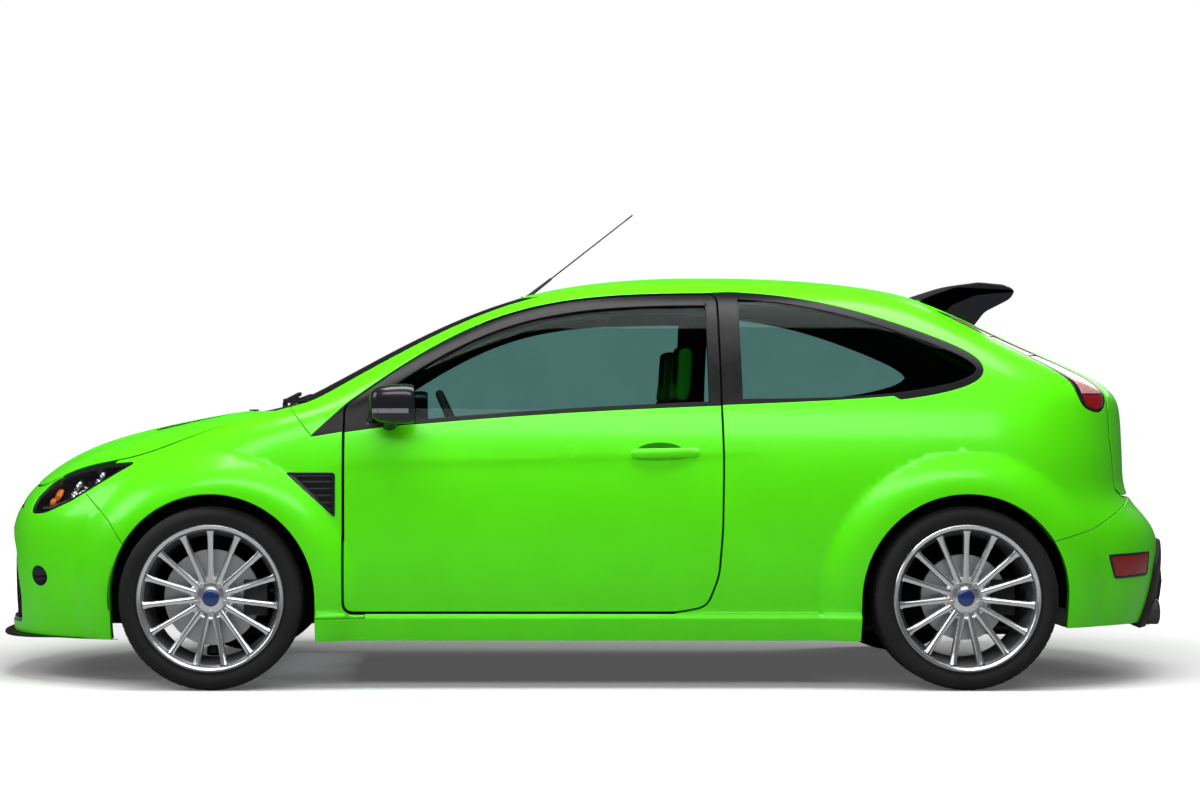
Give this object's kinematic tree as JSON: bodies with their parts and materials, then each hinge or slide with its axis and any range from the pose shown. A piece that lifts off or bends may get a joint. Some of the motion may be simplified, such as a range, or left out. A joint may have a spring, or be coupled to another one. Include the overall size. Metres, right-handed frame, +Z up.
{
  "type": "three-door hatchback car",
  "caption": "Three-door hot hatchback with flared arches and a roof spoiler; doors, bonnet and tailgate open, the front wheels steer and all wheels turn.",
  "frame": {"origin": "on the ground under the middle of the bounding box", "axes": "-X towards the nose, -Y towards the car's left side, +Z up"},
  "size_m": [4.402, 2.0122, 1.7356],
  "materials": {
    "paint": "gloss",
    "shell": "satin",
    "glass": "gloss",
    "black": "satin",
    "gloss_black": "gloss",
    "lamp": "gloss",
    "red_lamp": "gloss",
    "iron": "satin",
    "steel": "satin",
    "fabric": "matte",
    "tyre": "matte",
    "alloy": "gloss"
  },
  "bodies": {
    "body": {"body_shell": "shell", "body_side_left": "paint", "body_side_right": "paint", "roof_panel": "paint", "windscreen": "glass", "cowl_panel": "black", "front_wing_left": "paint", "front_wing_right": "paint", "front_bumper": "paint", "front_grille": "black", "headlamps": "lamp", "rear_bumper": "paint", "rear_diffuser": "black", "tail_lamps": "red_lamp", "quarter_glasses": "glass", "engine_block": "iron", "dashboard": "black", "front_seats": "fabric", "rear_seat": "fabric", "front_subframe": "shell", "rear_axle": "shell", "exhaust": "steel", "aerial": "black", "wipers": "black"},
    "bonnet": {"bonnet": "paint"},
    "left_door": {"door_left": "paint", "door_glass_left": "glass", "mirror_left": "gloss_black"},
    "right_door": {"door_right": "paint", "door_glass_right": "glass", "mirror_right": "gloss_black"},
    "tailgate": {"tailgate": "paint", "tailgate_glass": "glass", "rear_spoiler": "gloss_black"},
    "steering_wheel": {"steering_wheel": "black"},
    "left_knuckle": {"knuckle_left": "iron"},
    "right_knuckle": {"knuckle_right": "iron"},
    "front_left_wheel": {"tyre_front_left": "tyre", "wheel_front_left": "alloy", "disc_front_left": "iron"},
    "front_right_wheel": {"tyre_front_right": "tyre", "wheel_front_right": "alloy", "disc_front_right": "iron"},
    "rear_left_wheel": {"tyre_rear_left": "tyre", "wheel_rear_left": "alloy", "disc_rear_left": "iron"},
    "rear_right_wheel": {"tyre_rear_right": "tyre", "wheel_rear_right": "alloy", "disc_rear_right": "iron"}
  },
  "joints": [
    {"name": "steer_left", "type": "hinge", "parent": "body", "child": "left_knuckle", "pos_m": [-1.335, -0.775, 0.13], "axis": [0, 0.3055, 0.9522], "range_deg": [-28, 28]},
    {"name": "steer_right", "type": "hinge", "parent": "body", "child": "right_knuckle", "pos_m": [-1.335, 0.775, 0.13], "axis": [0, -0.3055, 0.9522], "range_deg": [-28, 28]},
    {"name": "steering_wheel_turn", "type": "hinge", "parent": "body", "child": "steering_wheel", "pos_m": [-0.47, -0.37, 0.88], "axis": [0.9063, 0, 0.4226], "range_deg": [-392, 392]},
    {"name": "left_door_hinge", "type": "hinge", "parent": "body", "child": "left_door", "pos_m": [-0.851, -0.878, 0.67], "axis": [0, 0, -1], "range_deg": [0, 62]},
    {"name": "right_door_hinge", "type": "hinge", "parent": "body", "child": "right_door", "pos_m": [-0.851, 0.878, 0.67], "axis": [0, 0, 1], "range_deg": [0, 62]},
    {"name": "tailgate_hinge", "type": "hinge", "parent": "body", "child": "tailgate", "pos_m": [1.218, 0, 1.38], "axis": [0, -1, 0], "range_deg": [0, 78]},
    {"name": "bonnet_hinge", "type": "hinge", "parent": "body", "child": "bonnet", "pos_m": [-1.172, 0, 0.96], "axis": [0, 1, 0], "range_deg": [0, 55]},
    {"name": "front_left_wheel_spin", "type": "hinge", "parent": "left_knuckle", "child": "front_left_wheel", "pos_m": [-1.335, -0.793, 0.322], "axis": [0, 1, 0], "continuous": true},
    {"name": "front_right_wheel_spin", "type": "hinge", "parent": "right_knuckle", "child": "front_right_wheel", "pos_m": [-1.335, 0.793, 0.322], "axis": [0, 1, 0], "continuous": true},
    {"name": "rear_left_wheel_spin", "type": "hinge", "parent": "body", "child": "rear_left_wheel", "pos_m": [1.305, -0.793, 0.322], "axis": [0, 1, 0], "continuous": true},
    {"name": "rear_right_wheel_spin", "type": "hinge", "parent": "body", "child": "rear_right_wheel", "pos_m": [1.305, 0.793, 0.322], "axis": [0, 1, 0], "continuous": true}
  ],
  "couplings": [
    {"joint": "steer_right", "follows": "steer_left", "ratio": 1},
    {"joint": "steering_wheel_turn", "follows": "steer_left", "ratio": 14}
  ]
}
